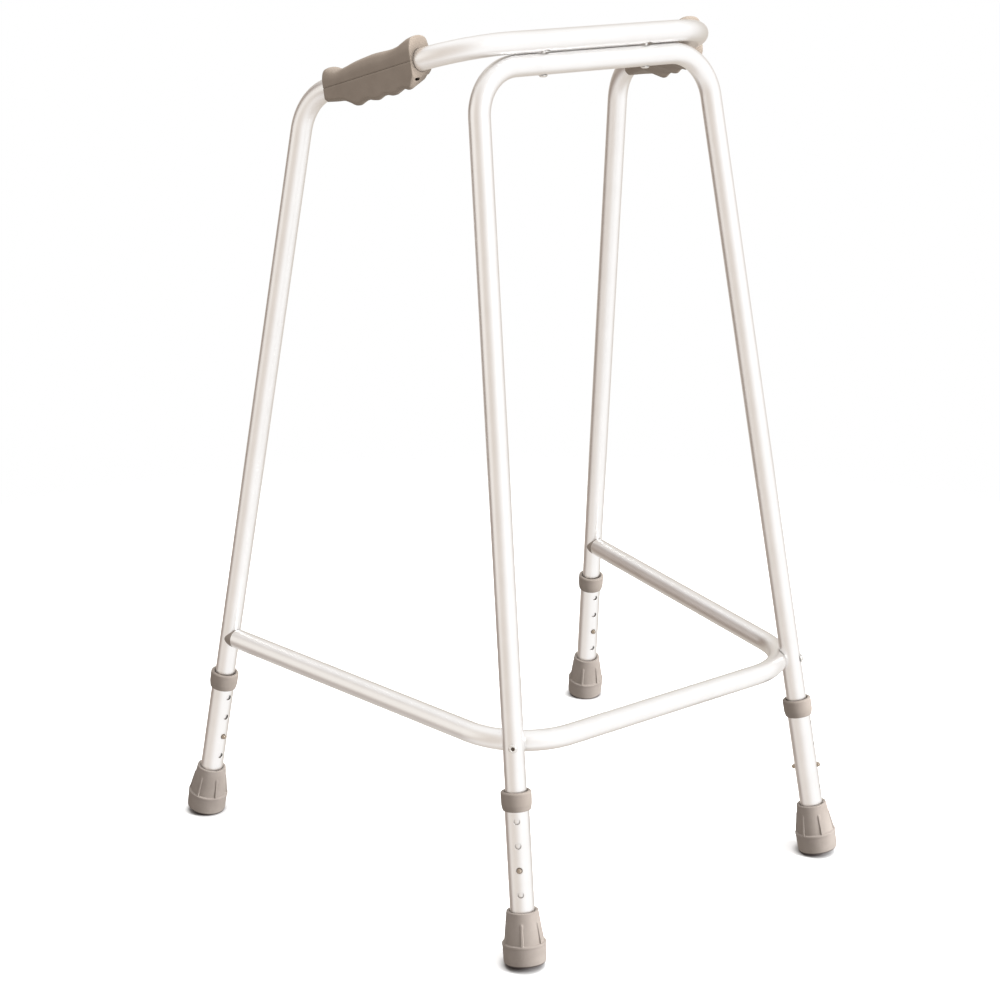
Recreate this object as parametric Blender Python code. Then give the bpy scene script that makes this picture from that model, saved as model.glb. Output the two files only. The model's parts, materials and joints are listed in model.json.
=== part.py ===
"""Height-adjustable walking frame: bent aluminium tubes, moulded hand grips and four telescoping legs.

Metres, +Z up.  The origin is on the floor at the centre of the footprint.  The user stands on the
+Y side and faces -Y, so the frame's left side is +X and its front is -Y.
"""

import math
from itertools import pairwise

import bmesh
import bpy
from mathutils import Matrix, Vector

# Tubes
TUBE_RADIUS = 0.0111
TUBE_WALL = 0.0015
TUBE_BORE = TUBE_RADIUS - TUBE_WALL
EXTENSION_RADIUS = 0.0127
EXTENSION_BORE = 0.0116
GAP = 0.0003
BEND_STEP = math.radians(12)
TUBE_SIDES = 16
TURNED_SIDES = 16
SMALL_SIDES = 10

# Corner points of the tube centrelines on the left side, before bending
FRONT_FOOT = Vector((0.2109, -0.2548, 0.0))
FRONT_TOP = Vector((0.1494, -0.0862, 0.8820))
REAR_FOOT = Vector((0.2894, 0.2548, 0.0))
REAR_TOP = Vector((0.2121, 0.1237, 0.8386))
RAIL_FRONT = Vector((0.1667, FRONT_TOP.y, FRONT_TOP.z + 2 * TUBE_RADIUS + GAP))
BRACE_HEIGHT = 0.2237
BRACE_FRONT = Vector((0.1990, -0.2228, BRACE_HEIGHT))
FRONT_BEND = 0.051
RAIL_FRONT_BEND = 0.0755
RAIL_REAR_BEND = 0.059
BRACE_BEND = 0.080
TOP_RIVET_X = 0.067

# Leg parts, as heights above the ferrule's underside along the leg
INNER_TUBE_END = 0.0680
HOLE_PITCH = 0.0254
HOLE_COUNT = 4
LOWEST_HOLE = 0.0733
BUTTON_HOLE = 1
HOLE_RADIUS = 0.0031
FERRULE_BASE_RADIUS = 0.0198
FERRULE_FLOOR = 0.0085
FERRULE_BORE = EXTENSION_RADIUS + GAP
WASHER_RADIUS = 0.0122
WASHER_BOTTOM = FERRULE_FLOOR + GAP
WASHER_TOP = WASHER_BOTTOM + 0.0015
EXTENSION_BOTTOM = WASHER_TOP + GAP
EXTENSION_TOP = 0.1760
COLLAR_BOTTOM = 0.1592

# Snap buttons and their spring
STEM_RADIUS = 0.0028
STEM_BASE = 0.0084
BUTTON_TIP = 0.0161
SPRING_OFFSET = 0.0078
SPRING_THICKNESS = 0.0005
SPRING_WIDTH = 0.0070
SPRING_LENGTH = 0.034

# Rivets, measured from the axis of the tube that their head rests on
RIVET_SHANK = 0.0024
RIVET_HOLE = 0.0027
RIVET_HEAD = 0.0047
RIVET_BULB = 0.0036
RIVET_SEAT = TUBE_RADIUS + GAP
RIVET_BULB_TOP = -0.0140
RIVET_END = -0.0176

# Plastic saddle between the end of the brace and the rear leg
BRACE_END = TUBE_RADIUS + 0.0023
SADDLE_SPIGOT_RADIUS = 0.0091
SADDLE_SPIGOT_LENGTH = 0.016
SADDLE_POCKET = 0.0040

# Hand grips, along the straight handle from the rail's rear corner
GRIP_START = 0.0410
GRIP_LENGTH = 0.1266
GRIP_HALF_WIDTH = 0.0147
GRIP_BORE = TUBE_RADIUS + 0.0006
GRIP_PARTING_GAP = 0.00015
GRIP_END_LEAN = 0.12
# Heights and depths from the handle's axis at places from 0 at the rear end to 1 at the front end
GRIP_TOP = ((0.0, 0.0195), (0.03, 0.0200), (0.15, 0.0146), (0.35, 0.0178), (0.54, 0.0192), (0.73, 0.0180),
            (0.82, 0.0188), (0.90, 0.0218), (0.95, 0.0236), (1.0, 0.0240))
GRIP_DEPTH = ((0.0, 0.0136), (0.20, 0.0179), (0.36, 0.0268), (0.46, 0.0245), (0.587, 0.0273), (0.656, 0.0250),
              (0.765, 0.0275), (0.855, 0.0243), (0.935, 0.0265), (1.0, 0.0160))
GRIP_INBOARD_RISE = 0.0085
GRIP_LEAST_DEPTH = 0.0145
GRIP_ARC_STEPS = 8
CORE_HOLE_RADIUS = 0.0024
CORE_HOLE_ACROSS = 0.0065
CORE_HOLE_DEPTH = 0.020
CORE_HOLE_DROP = 0.0177

SIDES = {"left": 1, "right": -1}
FEET = {"front": (FRONT_FOOT, FRONT_TOP), "rear": (REAR_FOOT, REAR_TOP)}
FULL_TURN = 2 * math.pi


def start_empty_scene():
    for obj in list(bpy.data.objects):
        bpy.data.objects.remove(obj, do_unlink=True)


def make_material(name, colour, roughness, metallic):
    material = bpy.data.materials.new(name)
    material.use_nodes = True
    shader = material.node_tree.nodes["Principled BSDF"]
    shader.inputs["Base Color"].default_value = (*colour, 1.0)
    shader.inputs["Roughness"].default_value = roughness
    shader.inputs["Metallic"].default_value = metallic
    return material


def on_side(point, side):
    """A left-side point, or its mirror image on the right side."""
    return Vector((point.x * side, point.y, point.z))


def close_and_store(bm, name):
    bmesh.ops.recalc_face_normals(bm, faces=bm.faces)
    mesh = bpy.data.meshes.new(name)
    bm.to_mesh(mesh)
    bm.free()
    mesh.shade_smooth()
    mesh.set_sharp_from_angle(angle=math.radians(35))
    return mesh


def add_object(name, mesh, material, placement=None):
    obj = bpy.data.objects.new(name, mesh)
    obj.matrix_world = placement or Matrix()
    if material:
        mesh.materials.append(material)
    bpy.context.scene.collection.objects.link(obj)
    return obj


def add_cutter(name, mesh, placement=None):
    cutter = add_object(name, mesh, None, placement)
    cutter.hide_render = True
    cutter.display_type = "WIRE"
    return cutter


def cut(obj, cutter):
    boolean = obj.modifiers.new("cut_" + cutter.name, "BOOLEAN")
    boolean.operation = "DIFFERENCE"
    boolean.solver = "EXACT"
    boolean.object = cutter


def bent_line(corners, bends):
    """The centreline through the corners, with each inner corner rounded to an arc of its bend radius."""
    line = [corners[0]]
    for before, corner, after, radius in zip(corners, corners[1:], corners[2:], bends):
        arrive = (corner - before).normalized()
        leave = (after - corner).normalized()
        turn = arrive.angle(leave)
        inward = (leave - arrive * arrive.dot(leave)).normalized()
        start = corner - arrive * (radius * math.tan(turn / 2))
        count = math.ceil(turn / BEND_STEP)
        for step in range(count + 1):
            angle = turn * step / count
            along = arrive * (radius * math.sin(angle))
            line.append(start + along + inward * (radius * (1 - math.cos(angle))))
    line.append(corners[-1])
    return line


def line_frames(line):
    """A point and two cross directions at each place of a line, carried along without twist."""
    frames = []
    across = (line[1] - line[0]).orthogonal()
    for index, point in enumerate(line):
        ahead = line[min(index + 1, len(line) - 1)]
        behind = line[max(index - 1, 0)]
        tangent = (ahead - behind).normalized()
        across = (across - tangent * across.dot(tangent)).normalized()
        frames.append((point, across, tangent.cross(across)))
    return frames


def add_rings(bm, line, radius, sides):
    rings = []
    for point, across, other in line_frames(line):
        ring = []
        for step in range(sides):
            angle = FULL_TURN * step / sides
            ring.append(bm.verts.new(point + (across * math.cos(angle) + other * math.sin(angle)) * radius))
        rings.append(ring)
    for low, high in pairwise(rings):
        join_rings(bm, low, high)
    return rings


def join_rings(bm, low, high):
    for index in range(len(low)):
        after = (index + 1) % len(low)
        bm.faces.new((low[index], low[after], high[after], high[index]))


def tube_mesh(name, line):
    """A hollow tube with open ends."""
    bm = bmesh.new()
    outer = add_rings(bm, line, TUBE_RADIUS, TUBE_SIDES)
    inner = add_rings(bm, line, TUBE_BORE, TUBE_SIDES)
    join_rings(bm, outer[0], inner[0])
    join_rings(bm, outer[-1], inner[-1])
    return close_and_store(bm, name)


def rod_mesh(name, line, radius, sides):
    """A solid rod with flat ends."""
    bm = bmesh.new()
    rings = add_rings(bm, line, radius, sides)
    bm.faces.new(rings[0])
    bm.faces.new(rings[-1])
    return close_and_store(bm, name)


def rods_mesh(name, rods):
    """Straight rods that don't meet, each given as (end, end, radius), for cutting several holes at once."""
    bm = bmesh.new()
    for low, high, radius in rods:
        rings = add_rings(bm, [low, high], radius, SMALL_SIDES)
        bm.faces.new(rings[0])
        bm.faces.new(rings[-1])
    return close_and_store(bm, name)


def turned_mesh(name, profile, sides):
    """Turns (radius, height) points about Z.  A profile that leaves the axis returns to its first point."""
    bm = bmesh.new()
    rings = []
    for radius, height in profile:
        if radius == 0:
            rings.append([bm.verts.new((0, 0, height))])
            continue
        angles = [FULL_TURN * step / sides for step in range(sides)]
        rings.append([bm.verts.new((radius * math.cos(a), radius * math.sin(a), height)) for a in angles])
    if len(rings[0]) > 1:
        rings.append(rings[0])
    for low, high in pairwise(rings):
        if len(low) == len(high):
            join_rings(bm, low, high)
            continue
        pole, ring = (low[0], high) if len(low) == 1 else (high[0], low)
        for index in range(sides):
            bm.faces.new((pole, ring[index], ring[(index + 1) % sides]))
    return close_and_store(bm, name)


def placement(origin, up, forward):
    """A frame with Z along up and X as near to forward as it can be."""
    z_axis = up.normalized()
    x_axis = (forward - z_axis * forward.dot(z_axis)).normalized()
    y_axis = z_axis.cross(x_axis)
    rotation = Matrix((x_axis, y_axis, z_axis)).transposed()
    return Matrix.Translation(origin) @ rotation.to_4x4()


def point_at_height(foot, top, height):
    return foot.lerp(top, (height - foot.z) / (top.z - foot.z))


class Leg:
    """One leg's axis and the places on it.  Its local Z runs up the leg and X along its holes."""

    def __init__(self, end, side_name):
        self.end = end
        self.side = SIDES[side_name]
        self.name = f"{end}_{side_name}"
        foot, top = FEET[end]
        self.foot = on_side(foot, self.side)
        self.top = on_side(top, self.side)
        self.up = (self.top - self.foot).normalized()
        tilt = math.sqrt(1 - self.up.z ** 2)
        self.base = self.foot + self.up * (FERRULE_BASE_RADIUS * tilt / self.up.z)
        self.outward = leg_outward(end, self.side)
        self.outward = (self.outward - self.up * self.outward.dot(self.up)).normalized()
        self.place = placement(self.base, self.up, self.outward)
        self.at_brace = point_at_height(self.foot, self.top, BRACE_HEIGHT)
        self.at_button = self.base + self.up * (LOWEST_HOLE + HOLE_PITCH * BUTTON_HOLE)
        self.inner_end = self.base + self.up * INNER_TUBE_END

    def through(self, centre, radius, reach=0.02):
        """A rod across the leg along its hole direction."""
        return (centre - self.outward * reach, centre + self.outward * reach, radius)

    def clearance(self, radius):
        """A rod round the leg's axis that passes the brace."""
        return (self.at_brace - self.up * 0.05, self.at_brace + self.up * 0.05, radius)


def brace_direction(side):
    """The direction of the brace's side run, from its front corner to the rear leg."""
    rear = point_at_height(REAR_FOOT, REAR_TOP, BRACE_HEIGHT)
    return (on_side(rear, side) - on_side(BRACE_FRONT, side)).normalized()


def leg_outward(end, side):
    """Rear legs are drilled along the brace; front legs across the middle of its bend."""
    along = brace_direction(side)
    if end == "rear":
        return along
    return (Vector((side, 0, 0)) - along).normalized()


def build_top_rail(legs, aluminium):
    left, right = legs["rear_left"], legs["rear_right"]
    corners = [left.inner_end, left.top, on_side(RAIL_FRONT, 1),
               on_side(RAIL_FRONT, -1), right.top, right.inner_end]
    line = bent_line(corners, [RAIL_REAR_BEND, RAIL_FRONT_BEND, RAIL_FRONT_BEND, RAIL_REAR_BEND])
    rail = add_object("top_rail", tube_mesh("top_rail", line), aluminium)
    rods = []
    for leg in (left, right):
        rods.append(leg.through(leg.at_button, HOLE_RADIUS))
        rods.append(leg.through(leg.at_brace, RIVET_HOLE))
        bottom = Vector((TOP_RIVET_X * leg.side, RAIL_FRONT.y, RAIL_FRONT.z - TUBE_RADIUS))
        rods.append((bottom - Vector((0, 0, 0.004)), bottom + Vector((0, 0, 0.004)), RIVET_HOLE))
    cut(rail, add_cutter("rail_holes", rods_mesh("rail_holes", rods)))


def build_front_frame(legs, aluminium):
    left, right = legs["front_left"], legs["front_right"]
    corners = [left.inner_end, left.top, right.top, right.inner_end]
    line = bent_line(corners, [FRONT_BEND, FRONT_BEND])
    frame = add_object("front_frame", tube_mesh("front_frame", line), aluminium)
    rods = []
    for leg in (left, right):
        rods.append(leg.through(leg.at_button, HOLE_RADIUS))
        rods.append(leg.through(leg.at_brace, RIVET_HOLE))
        centre = Vector((TOP_RIVET_X * leg.side, FRONT_TOP.y, FRONT_TOP.z))
        rods.append((centre - Vector((0, 0, 0.02)), centre + Vector((0, 0, 0.02)), RIVET_HOLE))
    cut(frame, add_cutter("frame_holes", rods_mesh("frame_holes", rods)))


def build_brace(legs, aluminium):
    """The low U tube, dented round the front legs and cut square in front of the rear legs."""
    ends = [legs[name].at_brace - brace_direction(legs[name].side) * BRACE_END
            for name in ("rear_left", "rear_right")]
    corners = [ends[0], on_side(BRACE_FRONT, 1), on_side(BRACE_FRONT, -1), ends[1]]
    bends = [BRACE_BEND, BRACE_BEND]
    solid = rod_mesh("lower_brace", bent_line(corners, bends), TUBE_RADIUS, TUBE_SIDES)
    brace = add_object("lower_brace", solid, aluminium)
    overshoot = 0.01
    corners[0] = corners[0] + brace_direction(1) * overshoot
    corners[-1] = corners[-1] + brace_direction(-1) * overshoot
    bore = add_cutter("brace_bore", rod_mesh("brace_bore", bent_line(corners, bends), TUBE_BORE, TUBE_SIDES))
    fronts = [legs["front_left"], legs["front_right"]]
    dents = [leg.clearance(TUBE_RADIUS + 2 * GAP) for leg in fronts]
    walls = [leg.clearance(TUBE_RADIUS + 2 * GAP + TUBE_WALL) for leg in fronts]
    holes = [(leg.at_brace - leg.outward * 0.018, leg.at_brace, RIVET_HOLE) for leg in fronts]
    cut(bore, add_cutter("dent_walls", rods_mesh("dent_walls", walls)))
    cut(brace, bore)
    cut(brace, add_cutter("dents", rods_mesh("dents", dents)))
    cut(brace, add_cutter("brace_rivet_holes", rods_mesh("brace_rivet_holes", holes)))


def build_saddle(leg, side_name, plastic):
    """A plug in the brace's end whose face is hollowed to fit the round rear leg."""
    face = BRACE_END - GAP
    spigot_end = BRACE_END + SADDLE_SPIGOT_LENGTH
    profile = [(0, 0), (TUBE_RADIUS, 0), (TUBE_RADIUS, face), (SADDLE_SPIGOT_RADIUS, face),
               (SADDLE_SPIGOT_RADIUS, spigot_end), (0, spigot_end)]
    name = f"brace_saddle_{side_name}"
    place = placement(leg.at_brace, -brace_direction(leg.side), Vector((0, 0, 1)))
    saddle = add_object(name, turned_mesh(name, profile, TUBE_SIDES), plastic, place)
    cut(saddle, add_cutter(name + "_leg", rods_mesh(name + "_leg", [leg.clearance(TUBE_RADIUS + 2 * GAP)])))
    pocket = (leg.at_brace - leg.outward * 0.019, leg.at_brace, SADDLE_POCKET)
    cut(saddle, add_cutter(name + "_pocket", rods_mesh(name + "_pocket", [pocket])))


def rivet_mesh(name):
    """A blind rivet with a domed head, a hollow where its mandrel broke off and a bulb at its far end."""
    seat = RIVET_SEAT
    profile = [(0, RIVET_END), (0.0024, RIVET_END), (RIVET_BULB, RIVET_END + 0.0012),
               (RIVET_BULB, RIVET_BULB_TOP), (RIVET_SHANK, RIVET_BULB_TOP), (RIVET_SHANK, seat),
               (RIVET_HEAD, seat), (0.0046, seat + 0.0005), (0.0036, seat + 0.0014), (0.0020, seat + 0.0019),
               (0.0013, seat + 0.0018), (0.0012, seat + 0.0008), (0, seat + 0.0008)]
    return turned_mesh(name, profile, SMALL_SIDES)


def build_rivets(legs, aluminium):
    for side_name, side in SIDES.items():
        crossing = Vector((TOP_RIVET_X * side, FRONT_TOP.y, FRONT_TOP.z))
        name = f"top_rivet_{side_name}"
        downward = placement(crossing, Vector((0, 0, -1)), Vector((1, 0, 0)))
        add_object(name, rivet_mesh(name), aluminium, downward)
        for end in FEET:
            leg = legs[f"{end}_{side_name}"]
            name = f"{end}_brace_rivet_{side_name}"
            add_object(name, rivet_mesh(name), aluminium, placement(leg.at_brace, leg.outward, leg.up))


def at_stretch(points, place):
    """The value at a place along the grip, straight between the listed points."""
    for (low, low_value), (high, high_value) in pairwise(points):
        if place <= high:
            return low_value + (high_value - low_value) * (place - low) / (high - low)
    return points[-1][1]


class Handle:
    """One side's straight handle.  Places on it are (forward, outboard, up) from the rail's rear corner."""

    def __init__(self, side):
        self.corner = on_side(REAR_TOP, side)
        self.forward = (on_side(RAIL_FRONT, side) - self.corner).normalized()
        self.up = (Vector((0, 0, 1)) - self.forward * self.forward.z).normalized()
        self.outboard = self.up.cross(self.forward) * side

    def place(self, forward, outboard, up):
        """The point there on a plane across the handle that leans forward at its top."""
        return (self.corner + self.forward * (forward + GRIP_END_LEAN * up)
                + self.outboard * outboard + self.up * up)


def upper_outline(place):
    """Outer points of the upper shell's section, from outboard to inboard: (outboard, up)."""
    height = at_stretch(GRIP_TOP, place)
    points = []
    for step in range(GRIP_ARC_STEPS + 1):
        angle = math.pi * step / GRIP_ARC_STEPS
        wide = math.copysign(abs(math.cos(angle)) ** 0.72, math.cos(angle))
        tall = math.sin(angle) ** 0.80 if 0 < step < GRIP_ARC_STEPS else 0.0
        points.append((GRIP_HALF_WIDTH * wide, GRIP_PARTING_GAP + (height - GRIP_PARTING_GAP) * tall))
    return points


def lower_outline(place):
    """Outer points of the lower shell's section, from outboard to inboard; its underside rises inboard."""
    deep = at_stretch(GRIP_DEPTH, place)
    shallow = max(deep - GRIP_INBOARD_RISE, GRIP_LEAST_DEPTH)
    half = GRIP_HALF_WIDTH
    corners = [(half, -GRIP_PARTING_GAP), (half, -0.45 * deep), (half, -deep + 0.0035), (0.78 * half, -deep),
               (-0.70 * half, -shallow), (-half, -shallow + 0.0045), (-half, -GRIP_PARTING_GAP)]
    lengths = [math.dist(a, b) for a, b in pairwise(corners)]
    points = []
    for step in range(GRIP_ARC_STEPS + 1):
        run = sum(lengths) * step / GRIP_ARC_STEPS
        for (a, b), length in zip(pairwise(corners), lengths):
            if run <= length + 1e-9:
                points.append((a[0] + (b[0] - a[0]) * run / length, a[1] + (b[1] - a[1]) * run / length))
                break
            run -= length
    return points


def shell_mesh(name, handle, upper):
    """Half of a hand grip, lofted along the handle round a half-round bore."""
    bm = bmesh.new()
    places = sorted({place for place, _ in GRIP_TOP} | {place for place, _ in GRIP_DEPTH})
    sign = 1 if upper else -1
    bore = []
    for step in reversed(range(GRIP_ARC_STEPS + 1)):
        angle = math.pi * step / GRIP_ARC_STEPS
        bore.append((GRIP_BORE * math.cos(angle), sign * max(GRIP_BORE * math.sin(angle), GRIP_PARTING_GAP)))
    rings = []
    for place in places:
        forward = GRIP_START + GRIP_LENGTH * place
        outline = upper_outline(place) if upper else lower_outline(place)
        rings.append([bm.verts.new(handle.place(forward, across, lift)) for across, lift in outline + bore])
    for low, high in pairwise(rings):
        join_rings(bm, low, high)
    last = 2 * GRIP_ARC_STEPS + 1
    for ring in (rings[0], rings[-1]):
        for index in range(GRIP_ARC_STEPS):
            bm.faces.new((ring[index], ring[index + 1], ring[last - index - 1], ring[last - index]))
    return close_and_store(bm, name)


def build_grips(plastic):
    for side_name, side in SIDES.items():
        handle = Handle(side)
        upper = f"grip_upper_shell_{side_name}"
        add_object(upper, shell_mesh(upper, handle, True), plastic)
        lower = f"grip_lower_shell_{side_name}"
        shell = add_object(lower, shell_mesh(lower, handle, False), plastic)
        front = GRIP_START + GRIP_LENGTH + GRIP_END_LEAN * CORE_HOLE_DROP
        start = handle.place(front - CORE_HOLE_DEPTH, CORE_HOLE_ACROSS, -CORE_HOLE_DROP)
        end = handle.place(front + CORE_HOLE_DEPTH, CORE_HOLE_ACROSS, -CORE_HOLE_DROP)
        cutter = add_cutter(lower + "_core", rods_mesh(lower + "_core", [(start, end, CORE_HOLE_RADIUS)]))
        cut(shell, cutter)


def build_extension(leg, aluminium):
    name = f"leg_extension_{leg.name}"
    profile = [(EXTENSION_RADIUS, EXTENSION_BOTTOM), (EXTENSION_RADIUS, EXTENSION_TOP),
               (EXTENSION_BORE, EXTENSION_TOP), (EXTENSION_BORE, EXTENSION_BOTTOM)]
    extension = add_object(name, turned_mesh(name, profile, TURNED_SIDES), aluminium, leg.place)
    heights = [LOWEST_HOLE + HOLE_PITCH * index for index in range(HOLE_COUNT)]
    rods = [(Vector((-0.02, 0, height)), Vector((0.02, 0, height)), HOLE_RADIUS) for height in heights]
    cut(extension, add_cutter(name + "_holes", rods_mesh(name + "_holes", rods), leg.place))


def build_collar(leg, plastic):
    name = f"leg_collar_{leg.name}"
    grip_radius = EXTENSION_RADIUS + GAP
    lip_radius = 0.0118
    shoulder = EXTENSION_TOP + GAP - COLLAR_BOTTOM
    profile = [(grip_radius, 0), (0.0146, 0), (0.01545, 0.0035), (0.0158, 0.0090), (0.0158, 0.0165),
               (0.0150, 0.0192), (0.0138, 0.0197), (lip_radius, 0.0197), (lip_radius, shoulder),
               (grip_radius, shoulder)]
    raised = [(radius, COLLAR_BOTTOM + height) for radius, height in profile]
    add_object(name, turned_mesh(name, raised, TURNED_SIDES), plastic, leg.place)


def build_ferrule(leg, rubber):
    name = f"ferrule_{leg.name}"
    profile = [(0, 0), (FERRULE_BASE_RADIUS, 0), (0.0212, 0.0012), (0.0226, 0.0205), (0.0222, 0.0215),
               (0.0204, 0.0219), (0.0166, 0.0520), (0.0160, 0.0540), (0.0150, 0.0545), (FERRULE_BORE, 0.0545),
               (FERRULE_BORE, FERRULE_FLOOR), (0, FERRULE_FLOOR)]
    add_object(name, turned_mesh(name, profile, TURNED_SIDES), rubber, leg.place)


def build_washer(leg, steel):
    name = f"ferrule_washer_{leg.name}"
    profile = [(0, WASHER_BOTTOM), (WASHER_RADIUS, WASHER_BOTTOM),
               (WASHER_RADIUS, WASHER_TOP), (0, WASHER_TOP)]
    add_object(name, turned_mesh(name, profile, TURNED_SIDES), steel, leg.place)


def spring_mesh(name):
    """A bent strip: two arms that press the buttons out, joined by a narrow round bend above them."""
    half = SPRING_THICKNESS / 2
    bend_radius = 0.0030
    outline = []
    for offset in (half, -half):
        arm = [(SPRING_OFFSET + offset, -0.0050), (SPRING_OFFSET + offset, 0.0050)]
        steps = 6
        for step in range(steps + 1):
            angle = math.pi / 2 * step / steps
            radius = bend_radius + offset
            arm.append((radius * math.cos(angle), SPRING_LENGTH - bend_radius + radius * math.sin(angle)))
        whole = arm + [(-x, z) for x, z in reversed(arm[:-1])]
        outline.extend(whole if offset > 0 else reversed(whole))
    bm = bmesh.new()
    near = [bm.verts.new((x, -SPRING_WIDTH / 2, z)) for x, z in outline]
    far = [bm.verts.new((x, SPRING_WIDTH / 2, z)) for x, z in outline]
    join_rings(bm, near, far)
    last = len(outline) - 1
    for ring in (near, far):
        for index in range(len(outline) // 2 - 1):
            bm.faces.new((ring[index], ring[index + 1], ring[last - index - 1], ring[last - index]))
    return close_and_store(bm, name)


def build_snap_buttons(leg, spring_steel, steel):
    spring_name = f"button_spring_{leg.name}"
    at_button = placement(leg.at_button, leg.up, leg.outward)
    add_object(spring_name, spring_mesh(spring_name), spring_steel, at_button)
    profile = [(0, STEM_BASE), (STEM_RADIUS, STEM_BASE), (STEM_RADIUS, 0.0136), (0.0025, 0.0149),
               (0.0016, 0.0157), (0, BUTTON_TIP)]
    for place_name, direction in (("outer", leg.outward), ("inner", -leg.outward)):
        name = f"snap_button_{leg.name}_{place_name}"
        place = placement(leg.at_button, direction, leg.up)
        add_object(name, turned_mesh(name, profile, SMALL_SIDES), steel, place)


def build():
    start_empty_scene()
    aluminium = make_material("satin_aluminium", (0.80, 0.79, 0.77), 0.34, 0.9)
    steel = make_material("plated_steel", (0.55, 0.50, 0.44), 0.28, 1.0)
    spring_steel = make_material("spring_steel", (0.35, 0.35, 0.37), 0.35, 1.0)
    grip_plastic = make_material("taupe_grip_plastic", (0.22, 0.18, 0.15), 0.55, 0.0)
    collar_plastic = make_material("grey_plastic", (0.36, 0.31, 0.27), 0.50, 0.0)
    rubber = make_material("grey_rubber", (0.36, 0.31, 0.28), 0.75, 0.0)
    legs = {}
    for end in FEET:
        for side_name in SIDES:
            leg = Leg(end, side_name)
            legs[leg.name] = leg
    build_top_rail(legs, aluminium)
    build_front_frame(legs, aluminium)
    build_brace(legs, aluminium)
    for side_name in SIDES:
        build_saddle(legs[f"rear_{side_name}"], side_name, collar_plastic)
    build_rivets(legs, aluminium)
    build_grips(grip_plastic)
    for leg in legs.values():
        build_extension(leg, aluminium)
        build_collar(leg, collar_plastic)
        build_ferrule(leg, rubber)
        build_washer(leg, steel)
        build_snap_buttons(leg, spring_steel, steel)


build()
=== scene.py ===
"""Finished surfaces of the walking frame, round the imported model.  Metres, +Z up, front at -Y."""

import json
import math
from itertools import pairwise

import bmesh
import bpy
from mathutils import Matrix, Vector


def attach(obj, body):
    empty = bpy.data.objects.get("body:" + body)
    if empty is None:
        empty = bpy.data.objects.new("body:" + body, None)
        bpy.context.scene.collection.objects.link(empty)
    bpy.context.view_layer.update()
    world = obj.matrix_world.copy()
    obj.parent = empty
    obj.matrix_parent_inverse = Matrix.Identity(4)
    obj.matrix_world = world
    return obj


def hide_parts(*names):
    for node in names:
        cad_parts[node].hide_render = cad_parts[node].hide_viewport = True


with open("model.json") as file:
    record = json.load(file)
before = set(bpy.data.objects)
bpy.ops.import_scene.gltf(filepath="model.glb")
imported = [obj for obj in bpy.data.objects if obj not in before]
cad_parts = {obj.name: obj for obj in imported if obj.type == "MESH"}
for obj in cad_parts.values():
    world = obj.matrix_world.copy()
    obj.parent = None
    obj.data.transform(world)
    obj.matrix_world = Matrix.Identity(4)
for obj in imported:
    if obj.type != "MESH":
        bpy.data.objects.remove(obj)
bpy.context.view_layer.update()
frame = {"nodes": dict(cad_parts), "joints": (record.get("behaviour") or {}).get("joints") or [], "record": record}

JOINTS = {joint["name"]: joint for joint in frame["joints"]}
MOUNTS = {mount["name"]: mount for mount in frame["record"]["mounts"]}
FULL_TURN = 2 * math.pi

# Tubes
TUBE_RADIUS = 0.0111
TUBE_BORE = 0.0096
TUBE_SIDES = 72
ARC_STEP = math.radians(1.6)
RUN_STEP = 0.05
FINE_STEP = 0.0007
FINE_COUNT = 20
FINE_RANGE = 0.03
EXTENSION_RADIUS = 0.0127
EXTENSION_BORE = 0.0116

# Tube corners on the left side that the legs' axes don't give
FRONT_TOP_HEIGHT = 0.8820
REAR_CORNER_HEIGHT = 0.8386
RAIL_FRONT_HALF_WIDTH = 0.1667
RAIL_HEIGHT = FRONT_TOP_HEIGHT + 2 * TUBE_RADIUS + 0.0003
BRACE_HEIGHT = 0.2237
BRACE_FRONT_HALF_WIDTH = 0.1990
BRACE_FRONT_Y = -0.2228
FRONT_BEND = 0.051
RAIL_FRONT_BEND = 0.0755
RAIL_REAR_BEND = 0.059
BRACE_BEND = 0.080
TOP_RIVET_X = 0.067
DIMPLE_REACH = 0.0085
DIMPLE_DEPTH = 0.0032
BRACE_END = TUBE_RADIUS + 0.0023
# How near a leg's axis the brace and its plugs may come, and how softly the brace's dents start
LEG_CLEARANCE = TUBE_RADIUS + 0.0002
DENT_SOFTNESS = 0.0016

# Leg parts, as heights above the ferrule's underside
INNER_TUBE_END = 0.0680
HOLE_HEIGHTS = [0.0733 + 0.0254 * index for index in range(4)]
BUTTON_HEIGHT = HOLE_HEIGHTS[1]
HOLE_RADIUS = 0.0031
EXTENSION_BOTTOM = 0.0106
EXTENSION_TOP = 0.1760
COLLAR_BOTTOM = 0.1592

# Hand grips, along the straight handle from the rail's rear corner
GRIP_START = 0.0410
GRIP_LENGTH = 0.1266
GRIP_HALF_WIDTH = 0.0147
GRIP_BORE = TUBE_RADIUS + 0.00025
GRIP_END_LEAN = 0.12
# Heights and depths from the handle's axis at places from 0 at the rear end to 1 at the front end
GRIP_TOP = ((0.0, 0.0196), (0.02, 0.0200), (0.058, 0.0181), (0.15, 0.0145), (0.25, 0.0159),
            (0.35, 0.0178), (0.45, 0.0187), (0.54, 0.0192), (0.64, 0.0186), (0.73, 0.0180),
            (0.825, 0.0189), (0.90, 0.0218), (0.95, 0.0236), (1.0, 0.0240))
GRIP_DEPTH = ((0.0, 0.0136), (0.13, 0.0166), (0.20, 0.0179), (0.26, 0.0214), (0.34, 0.0265),
              (0.377, 0.0270), (0.438, 0.0248), (0.478, 0.0245), (0.53, 0.0262), (0.587, 0.0273),
              (0.637, 0.0252), (0.675, 0.0251), (0.746, 0.0273), (0.784, 0.0274), (0.835, 0.0244),
              (0.872, 0.0244), (0.92, 0.0264), (0.94, 0.0264), (1.0, 0.0160))
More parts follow.
